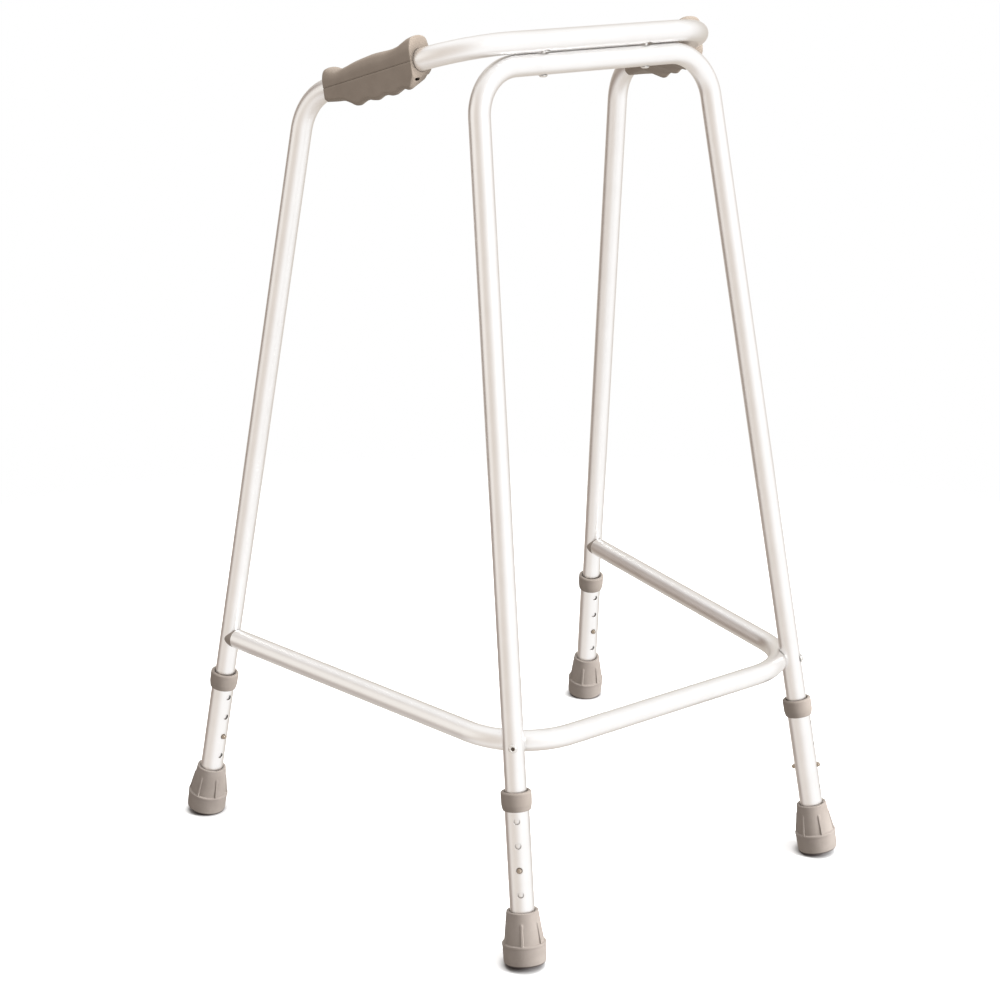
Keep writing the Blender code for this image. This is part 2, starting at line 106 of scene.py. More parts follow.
GRIP_INBOARD_RISE = 0.0085
GRIP_LEAST_DEPTH = 0.0145
CORE_HOLE_HALF_WIDTH = 0.0040
CORE_HOLE_HALF_HEIGHT = 0.0014
CORE_HOLE_ACROSS = 0.0065
CORE_HOLE_DEPTH = 0.020
CORE_HOLE_DROP = 0.0177


# ---------------------------------------------------------------- node materials

class Nodes:
    """A short way to write the node tree of a material or of the world."""

    def __init__(self, owner):
        owner.use_nodes = True
        self.owner = owner
        self.tree = owner.node_tree
        self.shader = self.tree.nodes.get("Principled BSDF")

    def add(self, kind, **settings):
        node = self.tree.nodes.new(kind)
        for key, value in settings.items():
            if key in node.inputs:
                node.inputs[key].default_value = value
            else:
                setattr(node, key, value)
        return node

    def link(self, source, target):
        self.tree.links.new(source, target)

    def place(self, scale, space="Object"):
        coordinates = self.add("ShaderNodeTexCoord")
        mapping = self.add("ShaderNodeMapping")
        mapping.inputs["Scale"].default_value = scale
        self.link(coordinates.outputs[space], mapping.inputs["Vector"])
        return mapping.outputs["Vector"]

    def noise(self, vector, scale, detail=2.0, roughness=0.5):
        node = self.add("ShaderNodeTexNoise")
        node.inputs["Scale"].default_value = scale
        node.inputs["Detail"].default_value = detail
        node.inputs["Roughness"].default_value = roughness
        self.link(vector, node.inputs["Vector"])
        return node.outputs["Fac"]

    def ramp(self, source, low, high, start=0.3, end=0.7):
        """Maps a value to a colour between two, or to a grey for plain numbers."""
        node = self.add("ShaderNodeValToRGB")
        stops = node.color_ramp.elements
        for stop, position, value in ((stops[0], start, low), (stops[1], end, high)):
            stop.position = position
            stop.color = (*value, 1.0) if isinstance(value, tuple) else (value, value, value, 1.0)
        self.link(source, node.inputs["Fac"])
        return node.outputs["Color"]

    def mix(self, first, second, amount, kind="MIX"):
        node = self.add("ShaderNodeMix", data_type="RGBA", blend_type=kind)
        node.inputs["Factor"].default_value = amount
        self.link(first, node.inputs["A"])
        self.link(second, node.inputs["B"])
        return node.outputs["Result"]

    def bump(self, heights):
        """Stacks bumps given as (height output, distance in metres, strength)."""
        last = None
        for source, distance, strength in heights:
            node = self.add("ShaderNodeBump")
            node.inputs["Distance"].default_value = distance
            node.inputs["Strength"].default_value = strength
            self.link(source, node.inputs["Height"])
            if last:
                self.link(last, node.inputs["Normal"])
            last = node.outputs["Normal"]
        self.link(last, self.shader.inputs["Normal"])

    def finish(self, colour, roughness, **fixed):
        self.link(colour, self.shader.inputs["Base Color"])
        self.link(roughness, self.shader.inputs["Roughness"])
        for key, value in fixed.items():
            self.shader.inputs[key.replace("_", " ")].default_value = value
        return self.owner


def material_nodes(name):
    return Nodes(bpy.data.materials.new(name))


def tube_aluminium():
    """Satin anodised drawn tube: fine lines along its length, faint clouding, fine grain."""
    n = material_nodes("satin_anodised_aluminium")
    along = n.place((260.0, 9.0, 1.0), "UV")
    lines = n.noise(along, 1.0, 3.0, 0.6)
    cloud = n.noise(n.place((1.0, 1.0, 1.0)), 38.0, 3.0, 0.5)
    grain = n.noise(n.place((1.0, 1.0, 1.0)), 2600.0, 2.0, 0.6)
    tint = n.ramp(cloud, (0.920, 0.912, 0.903), (0.950, 0.944, 0.938))
    streak = n.ramp(lines, 0.965, 1.0)
    colour = n.mix(tint, streak, 1.0, "MULTIPLY")
    rough = n.mix(n.ramp(lines, 0.30, 0.40), n.ramp(cloud, 0.31, 0.37), 0.5)
    n.bump([(lines, 0.00003, 0.25), (grain, 0.00002, 0.25)])
    return n.finish(colour, rough, Metallic=1.0)


def bright_aluminium():
    """Rivet heads: formed aluminium, brighter and smoother than the tube."""
    n = material_nodes("formed_aluminium")
    cloud = n.noise(n.place((1.0, 1.0, 1.0)), 900.0, 3.0, 0.6)
    colour = n.ramp(cloud, (0.74, 0.725, 0.70), (0.88, 0.87, 0.85))
    rough = n.ramp(cloud, 0.24, 0.38)
    n.bump([(cloud, 0.00006, 0.3)])
    return n.finish(colour, rough, Metallic=1.0)


def plated_steel():
    """Button domes: bright plating over turned steel, slightly warm."""
    n = material_nodes("plated_steel_finish")
    cloud = n.noise(n.place((1.0, 1.0, 1.0)), 700.0, 4.0, 0.6)
    colour = n.ramp(cloud, (0.33, 0.27, 0.21), (0.50, 0.43, 0.36))
    rough = n.ramp(cloud, 0.14, 0.26)
    n.bump([(cloud, 0.00003, 0.25)])
    return n.finish(colour, rough, Metallic=1.0)


def spring_steel():
    """Tempered strip with rolling lines and a faint blue-brown cast."""
    n = material_nodes("tempered_strip")
    lines = n.noise(n.place((900.0, 900.0, 30.0)), 1.0, 2.0, 0.5)
    cloud = n.noise(n.place((1.0, 1.0, 1.0)), 120.0, 2.0, 0.5)
    cast = n.ramp(cloud, (0.24, 0.25, 0.29), (0.40, 0.37, 0.34))
    colour = n.mix(cast, n.ramp(lines, 0.85, 1.0), 1.0, "MULTIPLY")
    n.bump([(lines, 0.00002, 0.3)])
    return n.finish(colour, n.ramp(lines, 0.28, 0.42), Metallic=1.0)


def moulded_plastic(name, dark, light, rough_low, rough_high, grain_scale, grain_depth):
    """Moulded polymer: spark-eroded grain, faint flow clouds and slightly rubbed sheen."""
    n = material_nodes(name)
    whole = n.place((1.0, 1.0, 1.0))
    cloud = n.noise(whole, 45.0, 3.0, 0.55)
    grain = n.noise(whole, grain_scale, 3.0, 0.65)
    speck = n.noise(whole, grain_scale * 2.7, 1.0, 0.5)
    specks = n.ramp(speck, 0.93, 1.0, 0.35, 0.65)
    colour = n.mix(n.ramp(cloud, dark, light), specks, 1.0, "MULTIPLY")
    fine_rough = n.ramp(grain, rough_low, rough_high)
    rough = n.mix(fine_rough, n.ramp(cloud, rough_low, rough_high), 0.4)
    n.bump([(cloud, 0.0004, 0.15), (grain, grain_depth, 0.6)])
    return n.finish(colour, rough)


def painted_hole_shade():
    """Painted shade: a dull dark colour laid inside drilled, punched and cored holes, where shade falls."""
    n = material_nodes("painted_shade_in_holes")
    cloud = n.noise(n.place((1.0, 1.0, 1.0)), 1400.0, 3.0, 0.6)
    colour = n.ramp(cloud, (0.085, 0.066, 0.052), (0.150, 0.122, 0.100))
    n.bump([(cloud, 0.00005, 0.4)])
    return n.finish(colour, n.ramp(cloud, 0.55, 0.75), Specular_IOR_Level=0.2)


def make_materials():
    return {
        # bore: painted shade inside holes, not a colour of the metal or plastic
        "bore": painted_hole_shade(),
        # tread: painted contact shadow on the ferrule's lowest rim, made with the moulded grain
        "tread": moulded_plastic("ferrule_tread_finish", (0.040, 0.032, 0.028),
                                 (0.085, 0.070, 0.060), 0.70, 0.85, 900.0, 0.00015),
        "tube": tube_aluminium(),
        "rivet": bright_aluminium(),
        "steel": plated_steel(),
        "strip": spring_steel(),
        "grip": moulded_plastic("grip_plastic_finish", (0.186, 0.150, 0.120),
                                (0.216, 0.177, 0.144), 0.46, 0.60, 1500.0, 0.00010),
        "collar": moulded_plastic("collar_plastic_finish", (0.182, 0.153, 0.131),
                                  (0.212, 0.181, 0.157), 0.42, 0.56, 1800.0, 0.00006),
        "rubber": moulded_plastic("ferrule_rubber_finish", (0.190, 0.162, 0.142),
                                  (0.226, 0.196, 0.174), 0.58, 0.74, 1100.0, 0.00012),
    }


# ---------------------------------------------------------------- mesh helpers

def placement(origin, up, forward):
    """A frame with Z along up and X as near to forward as it can be."""
    z_axis = up.normalized()
    x_axis = (forward - z_axis * forward.dot(z_axis)).normalized()
    rotation = Matrix((x_axis, z_axis.cross(x_axis), z_axis)).transposed()
    return Matrix.Translation(origin) @ rotation.to_4x4()


def new_object(name, data):
    obj = bpy.data.objects.new(name, data)
    bpy.context.scene.collection.objects.link(obj)
    return obj


def mesh_object(name, bm):
    mesh = bpy.data.meshes.new(name)
    bm.to_mesh(mesh)
    bm.free()
    return new_object(name, mesh)


def add_piece(name, bm, body, nodes, materials, sharp_angle=40):
    """Turns a finished bmesh into a piece that rides a body and stands for CAD nodes."""
    bmesh.ops.recalc_face_normals(bm, faces=bm.faces)
    piece = mesh_object(name, bm)
    piece.data.shade_smooth()
    piece.data.set_sharp_from_angle(angle=math.radians(sharp_angle))
    for material in materials:
        piece.data.materials.append(material)
    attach(piece, body)
    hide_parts(*nodes)
    return piece


def join_rings(bm, low, high, material_index=0):
    for index in range(len(low)):
        after = (index + 1) % len(low)
        face = bm.faces.new((low[index], low[after], high[after], high[index]))
        face.material_index = material_index


def mapped_face(bm, uv_layer, low, high, index, runs):
    """One face between two rings of a tube, mapped by turns round it and by runs along it."""
    after = (index + 1) % len(low)
    face = bm.faces.new((low[index], low[after], high[after], high[index]))
    turns = (index, index + 1, index + 1, index)
    for loop, turn, run in zip(face.loops, turns, (runs[0], runs[0], runs[1], runs[1])):
        loop[uv_layer].uv = (turn / len(low), run)


def arc_point(start, arrive, inward, radius, angle):
    """A point on an arc that leaves start along arrive and turns towards inward."""
    return start + arrive * (radius * math.sin(angle)) + inward * (radius * (1 - math.cos(angle)))


def rounded(points, radii, closed=False, step=math.radians(12)):
    """Points of a 2-D outline with each corner rounded by its radius."""
    corners = [Vector(point) for point in points]
    count = len(corners)
    result = []
    for index, (corner, radius) in enumerate(zip(corners, radii)):
        if radius == 0 or (not closed and index in (0, count - 1)):
            result.append(corner)
            continue
        before = corners[index - 1]
        after = corners[(index + 1) % count]
        arrive = (corner - before).normalized()
        leave = (after - corner).normalized()
        turn = arrive.angle(leave)
        if turn < 1e-3:
            result.append(corner)
            continue
        setback = radius * math.tan(turn / 2)
        reach = 0.48 * min((corner - before).length, (after - corner).length)
        if setback > reach:
            radius *= reach / setback
            setback = reach
        inward = (leave - arrive * arrive.dot(leave)).normalized()
        start = corner - arrive * setback
        steps = max(2, math.ceil(turn / step))
        result.extend(arc_point(start, arrive, inward, radius, turn * part / steps)
                      for part in range(steps + 1))
    return result


def turned(profile, angles, place, wobble=None):
    """Turns (radius, height) points; wobble(radius, height, angle) may change a point's radius."""
    bm = bmesh.new()
    rings = []
    for radius, height in profile:
        if radius < 1e-7:
            rings.append([bm.verts.new(place @ Vector((0, 0, height)))])
            continue
        ring = []
        for angle in angles:
            r = wobble(radius, height, angle) if wobble else radius
            point = Vector((r * math.cos(angle), r * math.sin(angle), height))
            ring.append(bm.verts.new(place @ point))
        rings.append(ring)
    if len(rings[0]) > 1:
        rings.append(rings[0])
    for low, high in pairwise(rings):
        if len(low) == len(high):
            join_rings(bm, low, high)
            continue
        pole, ring = (low[0], high) if len(low) == 1 else (high[0], low)
        for index in range(len(ring)):
            bm.faces.new((pole, ring[index], ring[(index + 1) % len(ring)]))
    return bm


def even_angles(count):
    return [FULL_TURN * index / count for index in range(count)]


# ---------------------------------------------------------------- legs' axes

class Leg:
    """One leg's axis, from its foot mount and slide joint: local Z up it, X along its holes."""

    def __init__(self, name):
        self.name = name
        self.side = 1 if name.endswith("left") else -1
        self.base = Vector(MOUNTS["foot_" + name]["pos_m"])
        self.up = -Vector(JOINTS["leg_slide_" + name]["axis"]).normalized()
        outward = -Vector(JOINTS[f"button_press_{name}_outer"]["axis"])
        self.outward = (outward - self.up * outward.dot(self.up)).normalized()
        self.place = placement(self.base, self.up, self.outward)
        self.at_brace = self.at_height(BRACE_HEIGHT)
        self.at_button = self.base + self.up * BUTTON_HEIGHT
        self.inner_end = self.base + self.up * INNER_TUBE_END

    def at_height(self, height):
        return self.base + self.up * ((height - self.base.z) / self.up.z)


LEGS = {name: Leg(name) for name in ("front_left", "front_right", "rear_left", "rear_right")}
FRONT_TOP_Y = LEGS["front_left"].at_height(FRONT_TOP_HEIGHT).y


def brace_corner(side):
    return Vector((BRACE_FRONT_HALF_WIDTH * side, BRACE_FRONT_Y, BRACE_HEIGHT))


def brace_direction(side):
    rear = LEGS["rear_left" if side > 0 else "rear_right"].at_brace
    return (rear - brace_corner(side)).normalized()


# ---------------------------------------------------------------- tubes

def straight_stations(start, end, spots):
    """Places along a straight run: its ends, with fine steps near the spots that will be shaped."""
    length = (end - start).length
    direction = (end - start).normalized()
    places = {0.0, length}
    for spot in spots:
        reach = (spot - start).dot(direction)
        off = (spot - start - direction * reach).length
        if off < FINE_RANGE:
            near = [reach + FINE_STEP * step for step in range(-FINE_COUNT, FINE_COUNT + 1)]
            places.update(place for place in near if 0.001 < place < length - 0.001)
    count = max(1, round(length / RUN_STEP))
    places.update(length * step / count for step in range(count))
    return [start + direction * place for place in sorted(places)]


def bent_line(corners, bends, spots=()):
    """The centreline round the corners in arcs, with fine steps where the tube is shaped."""
    line = []
    start = corners[0]
    for before, corner, after, radius in zip(corners, corners[1:], corners[2:], bends):
        arrive = (corner - before).normalized()
        leave = (after - corner).normalized()
        turn = arrive.angle(leave)
        inward = (leave - arrive * arrive.dot(leave)).normalized()
        arc_start = corner - arrive * (radius * math.tan(turn / 2))
        line.extend(straight_stations(start, arc_start, spots)[:-1])
        steps = math.ceil(turn / ARC_STEP)
        line.extend(arc_point(arc_start, arrive, inward, radius, turn * step / steps)
                    for step in range(steps + 1))
        start = line.pop()
    line.extend(straight_stations(start, corners[-1], spots))
    return line


def line_frames(line):
    """Each point of the line with two directions across it that don't twist along the line."""
    frames = []
    across = (line[1] - line[0]).orthogonal()
    for index, point in enumerate(line):
        ahead = line[min(index + 1, len(line) - 1)]
        tangent = (ahead - line[max(index - 1, 0)]).normalized()
        across = (across - tangent * across.dot(tangent)).normalized()
        frames.append((point, across, tangent.cross(across)))
    return frames


def swept_tube(line, shape=None):
    """A hollow tube with length-and-turn UVs; shape(point, radius) may dent either of its skins."""
    bm = bmesh.new()
    uv_layer = bm.loops.layers.uv.new("run")
    lengths = [0.0]
    for low, high in pairwise(line):
        lengths.append(lengths[-1] + (high - low).length)
    walls = []
    for radius in (TUBE_RADIUS, TUBE_BORE):
        rings = []
        for point, across, other in line_frames(line):
            ring = []
            for angle in even_angles(TUBE_SIDES):
                place = point + (across * math.cos(angle) + other * math.sin(angle)) * radius
                if shape:
                    place = shape(place, radius)
                ring.append(bm.verts.new(place))
            rings.append(ring)
        walls.append(rings)
        for (low, high), runs in zip(pairwise(rings), pairwise(lengths)):
            for index in range(TUBE_SIDES):
                mapped_face(bm, uv_layer, low, high, index, runs)
    join_rings(bm, walls[0][0], walls[1][0])
    join_rings(bm, walls[0][-1], walls[1][-1])
    return bm


def dimple(spots, reach, depth):
    """A soft round dimple pushed up into the tube's underside at each spot."""
    def shape(point, radius):
        for spot in spots:
            off = math.hypot(point.x - spot.x, point.y - spot.y)
            below = point.z < RAIL_HEIGHT - 0.3 * TUBE_RADIUS
            if off < reach and below:
                fall = 0.5 + 0.5 * math.cos(math.pi * off / reach)
                return point + Vector((0, 0, depth * fall))
        return point
    return shape


def dented_by(legs):
    """Presses the tube back from each leg, with a soft lip where the metal turns into the dent."""
    def shape(point, radius):
        for leg in legs:
            along = (point - leg.base).dot(leg.up)
            foot = leg.base + leg.up * along
            away = point - foot
            distance = away.length
            limit = LEG_CLEARANCE + (TUBE_RADIUS - radius)
            if distance < limit + 4 * DENT_SOFTNESS and distance > 1e-6:
                push = DENT_SOFTNESS * math.log1p(math.exp((limit - distance) / DENT_SOFTNESS))
                return point + away * (push / distance)
        return point
    return shape


def build_tubes(materials):
    left, right = LEGS["rear_left"], LEGS["rear_right"]
    rail_front = Vector((RAIL_FRONT_HALF_WIDTH, FRONT_TOP_Y, RAIL_HEIGHT))
    mirrored = Vector((-rail_front.x, rail_front.y, rail_front.z))
    corners = [left.inner_end, left.at_height(REAR_CORNER_HEIGHT), rail_front, mirrored,
               right.at_height(REAR_CORNER_HEIGHT), right.inner_end]
    spots = [Vector((TOP_RIVET_X * side, FRONT_TOP_Y, RAIL_HEIGHT)) for side in (1, -1)]
    bends = [RAIL_REAR_BEND, RAIL_FRONT_BEND, RAIL_FRONT_BEND, RAIL_REAR_BEND]
    rail = swept_tube(bent_line(corners, bends, spots), dimple(spots, DIMPLE_REACH, DIMPLE_DEPTH))
    add_piece("rail_tube", rail, "frame", ["top_rail"], [materials["tube"]])

    left, right = LEGS["front_left"], LEGS["front_right"]
    corners = [left.inner_end, left.at_height(FRONT_TOP_HEIGHT),
               right.at_height(FRONT_TOP_HEIGHT), right.inner_end]
    front = swept_tube(bent_line(corners, [FRONT_BEND, FRONT_BEND]))
    add_piece("front_tube", front, "frame", ["front_frame"], [materials["tube"]])

    ends = [LEGS[name].at_brace - brace_direction(LEGS[name].side) * BRACE_END
            for name in ("rear_left", "rear_right")]
    corners = [ends[0], brace_corner(1), brace_corner(-1), ends[1]]
    brace = swept_tube(bent_line(corners, [BRACE_BEND, BRACE_BEND]), dented_by([left, right]))
    add_piece("brace_tube", brace, "frame", ["lower_brace"], [materials["tube"]])


# ---------------------------------------------------------------- drilled leg extensions

class DrilledTube:
    """A straight tube on a regular grid, with round holes through both of its sides.

    At each hole a square of grid cells is replaced by rings that pass from the square to a circle,
    round the hole's edge, go through the wall and open out again on the bore."""

    COLUMNS = 64
    HALF_PATCH = 4
    FILLET = 0.00045

    def __init__(self, place, bottom, top, heights):
        self.place = place
        self.heights = heights
        self.bm = bmesh.new()
        self.uv = self.bm.loops.layers.uv.new("run")
        self.cell = FULL_TURN * EXTENSION_RADIUS / self.COLUMNS
        self.rows = self.row_heights(bottom, top)
        self.outer = self.grid(EXTENSION_RADIUS)
        self.inner = self.grid(EXTENSION_BORE)
        self.skins()
        for height in heights:
            for column in (0, self.COLUMNS // 2):
                self.hole(height, column)
        join_rings(self.bm, self.outer[0], self.inner[0])
        join_rings(self.bm, self.outer[-1], self.inner[-1])
        loose = [vert for vert in self.bm.verts if not vert.link_faces]
        bmesh.ops.delete(self.bm, geom=loose, context="VERTS")

    def row_heights(self, bottom, top):
        reach = self.HALF_PATCH
        rows = {round(bottom, 7), round(top, 7)}
        for height in self.heights:
            rows.update(round(height + self.cell * step, 7) for step in range(-reach, reach + 1))
        return sorted(rows)

    def point(self, radius, angle, height):
        return self.place @ Vector((radius * math.cos(angle), radius * math.sin(angle), height))

    def grid(self, radius):
        angles = even_angles(self.COLUMNS)
        return [[self.bm.verts.new(self.point(radius, angle, height)) for angle in angles]
                for height in self.rows]

    def in_patch(self, row, column):
        middle = (self.rows[row] + self.rows[row + 1]) / 2
        reach = self.HALF_PATCH * self.cell
        near_hole = any(abs(middle - height) < reach for height in self.heights)
        half = self.COLUMNS // 2
        off = min((column + 0.5) % half, half - (column + 0.5) % half)
        return near_hole and off < self.HALF_PATCH

    def skins(self):
        for rings in (self.outer, self.inner):
            for row in range(len(self.rows) - 1):
                for column in range(self.COLUMNS):
                    if not self.in_patch(row, column):
                        mapped_face(self.bm, self.uv, rings[row], rings[row + 1], column,
                                    self.rows[row:row + 2])

    def boundary(self, rings, height, column):
        """The patch's edge vertices in order, each with its offset from the hole in cells."""
        reach = self.HALF_PATCH
        middle = min(range(len(self.rows)), key=lambda row: abs(self.rows[row] - height))
        steps = [(reach, step) for step in range(-reach, reach)]
        steps += [(-step, reach) for step in range(-reach, reach)]
        steps += [(-reach, -step) for step in range(-reach, reach)]
        steps += [(step, -reach) for step in range(-reach, reach)]
        return [(rings[middle + up][(column + across) % self.COLUMNS], across, up)
                for across, up in steps]

    def ring(self, facing, radius, height, offsets, depth=0.0):
        """A ring on the skin of that radius, from (sideways, up) offsets from the hole's axis."""
        verts = []
        for sideways, up in offsets:
            out = math.sqrt(radius ** 2 - sideways ** 2) - depth
            point = Vector((facing * out, facing * sideways, height + up))
            verts.append(self.bm.verts.new(self.place @ point))
        return verts

    def hole(self, height, column):
        facing = 1 if column == 0 else -1
        rings = []
        for grid, radius in ((self.outer, EXTENSION_RADIUS), (self.inner, EXTENSION_BORE)):
            edge = self.boundary(grid, height, column)
            square = [(radius * math.sin(across * FULL_TURN / self.COLUMNS), up * self.cell)
                      for _, across, up in edge]
            turns = [math.atan2(up, across) for _, across, up in edge]
            rim = HOLE_RADIUS + (self.FILLET if grid is self.outer else 0.0)
            circle = [(rim * math.cos(turn), rim * math.sin(turn)) for turn in turns]
            half_way = [((a[0] + b[0]) / 2, (a[1] + b[1]) / 2) for a, b in zip(square, circle)]
            part = [[vert for vert, _, _ in edge], self.ring(facing, radius, height, half_way),
                    self.ring(facing, radius, height, circle)]
            if grid is self.outer:
                for step in (1, 2, 3):
                    lean = math.pi / 2 * step / 3
                    size = HOLE_RADIUS + self.FILLET * (1 - math.sin(lean))
                    circle = [(size * math.cos(turn), size * math.sin(turn)) for turn in turns]
                    depth = self.FILLET * (1 - math.cos(lean))
                    part.append(self.ring(facing, radius, height, circle, depth))
                rings.extend(part)
            else:
                rings.extend(reversed(part))
        wall = len(rings) // 2 + 1
        for index, (low, high) in enumerate(pairwise(rings)):
            # The wall rings through the tube take material 1, the painted shade inside the hole.
            join_rings(self.bm, low, high, 1 if index in (wall, wall - 1) else 0)


def build_extensions(materials):
    for leg in LEGS.values():
        tube = DrilledTube(leg.place, EXTENSION_BOTTOM, EXTENSION_TOP, HOLE_HEIGHTS)
        add_piece(f"drilled_leg_{leg.name}", tube.bm, "leg_" + leg.name,
                  ["leg_extension_" + leg.name],
                  [materials["tube"], materials["bore"]], 50)


# ---------------------------------------------------------------- collars and ferrules

def build_collars(materials):
    points = [(0.01300, 0.0), (0.01455, 0.0), (0.01570, 0.0060), (0.01585, 0.0190),
              (0.01330, 0.0200), (0.01180, 0.0192), (0.01180, 0.0172), (0.01300, 0.0172)]
    radii = [0.0, 0.0010, 0.0060, 0.0022, 0.0010, 0.0005, 0.0002, 0.0002]
    profile = rounded([(r, COLLAR_BOTTOM + z) for r, z in points], radii, closed=True)
    for leg in LEGS.values():
        collar = turned(profile, even_angles(96), leg.place)
        add_piece(f"collar_{leg.name}", collar, "leg_" + leg.name, ["leg_collar_" + leg.name],
                  [materials["collar"]], 60)


# Ferrules, as radii and heights from the middle of the underside
RIB_COUNT = 6
RIB_HALF_WIDTH = 0.00115
RIB_LOW_HEIGHT = 0.0017
RIB_TOP_HEIGHT = 0.0007
RIB_TOP = 0.0436
RIB_SECTOR = FULL_TURN / RIB_COUNT
RIB_HALF_ANGLE = math.asin(RIB_HALF_WIDTH / 0.0186)
RIB_RAMP = 0.0012
RIB_FLANK = 1.25
TREAD_EDGE = 0.0013
BAND_TOP = 0.0215
BAND_INSIDE = 0.0222
CONE_LOW = Vector((0.0204, 0.0222))
CONE_HIGH = Vector((0.0166, 0.0535))
CONE_STEPS = 14
# How far each ferrule happens to be turned on its tube
FERRULE_TURNS = {"front_left": 56.8, "front_right": 58.1, "rear_left": 15.6, "rear_right": 44.9}


def rib_angles(lean):
    """Angles round the ferrule, close together at the ribs' flanks."""
    angles = []
    for rib in range(RIB_COUNT):
        middle = lean + rib * RIB_SECTOR
        flanks = (-RIB_FLANK, -1.0, -0.7, 0.0, 0.7, 1.0, RIB_FLANK)
        angles.extend(middle + RIB_HALF_ANGLE * part for part in flanks)
        start = middle + RIB_FLANK * RIB_HALF_ANGLE
        end = middle + RIB_SECTOR - RIB_FLANK * RIB_HALF_ANGLE
        angles.extend(start + (end - start) * step / 10 for step in range(1, 10))
    return angles


def ribbed(lean):
    """Ribs that stand further out towards the band and end in a short ramp at the top."""
    def wobble(radius, height, angle):
        if not (BAND_TOP < height < RIB_TOP + 0.0015) or radius < 0.0155:
            return radius
        turned_from_rib = abs((angle - lean + RIB_SECTOR / 2) % RIB_SECTOR - RIB_SECTOR / 2)
        rise = min(1.0, max(0.0, (1.12 - turned_from_rib / RIB_HALF_ANGLE) / 0.35))
        fade = min(1.0, max(0.0, (RIB_TOP + RIB_RAMP - height) / 0.0016))
        part = (height - BAND_TOP) / (RIB_TOP - BAND_TOP)
        out = RIB_LOW_HEIGHT + (RIB_TOP_HEIGHT - RIB_LOW_HEIGHT) * part
        return radius + min(out, BAND_INSIDE - radius) * rise * fade
    return wobble


def ferrule_profile():
    """Underside with tread rings, band with mould line and lip, cone, rolled mouth and bore."""
    points = [(0.0, 0.0)]
    radii = [0.0]
    for groove in (0.0050, 0.0095, 0.0140):
        points += [(groove, 0.0), (groove + 0.0002, 0.0010),
                   (groove + 0.0016, 0.0010), (groove + 0.0018, 0.0)]
        radii += [0.0002] * 4
    points += [(0.0209, 0.0), (0.0217, TREAD_EDGE), (0.0219, 0.0036), (0.0217, 0.0039),
               (0.0220, 0.0043), (0.0224, 0.0188), (0.0228, 0.0196), (0.0228, BAND_TOP), CONE_LOW]
    radii += [0.0002, 0.0, 0.0001, 0.0001, 0.0001, 0.0004, 0.0004, 0.0006, 0.0003]
    points += [CONE_LOW.lerp(CONE_HIGH, step / CONE_STEPS) for step in range(1, CONE_STEPS)]
    radii += [0.0] * (CONE_STEPS - 1)
    points += [(0.0166, 0.0528), (0.0165, 0.0545), (0.0130, 0.0545), (0.0130, 0.0085),
               (0.0, 0.0085)]
    radii += [0.0, 0.0013, 0.0009, 0.0004, 0.0]
    profile = rounded(points, radii)
    for height in (RIB_TOP - 0.0006, RIB_TOP + 0.0002, RIB_TOP + RIB_RAMP):
        on_cone = CONE_LOW.lerp(CONE_HIGH, (height - CONE_LOW.y) / (CONE_HIGH.y - CONE_LOW.y))
        index = next(i for i, p in enumerate(profile) if p[1] > height and p[0] > 0.016)
        profile.insert(index, on_cone)
    return profile


def build_ferrules(materials):
    profile = ferrule_profile()
    for leg in LEGS.values():
        lean = math.radians(FERRULE_TURNS[leg.name])
        bm = turned(profile, rib_angles(lean), leg.place, ribbed(lean))
        to_leg = leg.place.inverted()
        # Faces below the tread edge take material 1, the painted contact shadow.
        for face in bm.faces:
            if (to_leg @ face.calc_center_median()).z < TREAD_EDGE:
                face.material_index = 1
        add_piece(f"rubber_ferrule_{leg.name}", bm, "leg_" + leg.name, ["ferrule_" + leg.name],
                  [materials["rubber"], materials["tread"]], 42)


# ---------------------------------------------------------------- rivets, buttons, saddles

RIVET_BORE = 0.0018


def build_rivets(materials):
    seat = TUBE_RADIUS + 0.0001
    points = [(0.0, -0.0176), (0.0026, -0.0176), (0.0036, -0.0160), (0.0036, -0.0140),
              (0.0024, -0.0138), (0.0024, seat), (0.0047, seat), (0.0046, seat + 0.0006),
              (0.0036, seat + 0.0017), (0.0025, seat + 0.0021), (0.0020, seat + 0.0018),
              (RIVET_BORE, seat + 0.0012), (RIVET_BORE, seat + 0.0003), (0.0, seat + 0.0002)]
    radii = [0, 0.0006, 0.0005, 0.0004, 0.0003, 0.0001, 0.0003, 0.0006, 0.0015, 0.0004, 0.0004,
             0.0001, 0.0002, 0]
    profile = rounded(points, radii)
    spots = []
    for side_name, side in (("left", 1), ("right", -1)):
        crossing = Vector((TOP_RIVET_X * side, FRONT_TOP_Y, FRONT_TOP_HEIGHT))
        down, across = Vector((0, 0, -1)), Vector((1, 0, 0))
        spots.append((f"top_rivet_{side_name}", placement(crossing, down, across)))
        for end in ("front", "rear"):
            leg = LEGS[f"{end}_{side_name}"]
            place = placement(leg.at_brace, leg.outward, leg.up)
            spots.append((f"{end}_brace_rivet_{side_name}", place))
    for node, place in spots:
        bm = turned(profile, even_angles(48), place)
        # Faces down the rivet's hollow centre take material 1, the painted shade inside the hollow.
        to_rivet = place.inverted()
        for face in bm.faces:
            middle = to_rivet @ face.calc_center_median()
            if middle.z > 0 and math.hypot(middle.x, middle.y) < RIVET_BORE + 0.0001:
                face.material_index = 1
        add_piece("set_" + node, bm, "frame", [node],
                  [materials["rivet"], materials["bore"]], 50)


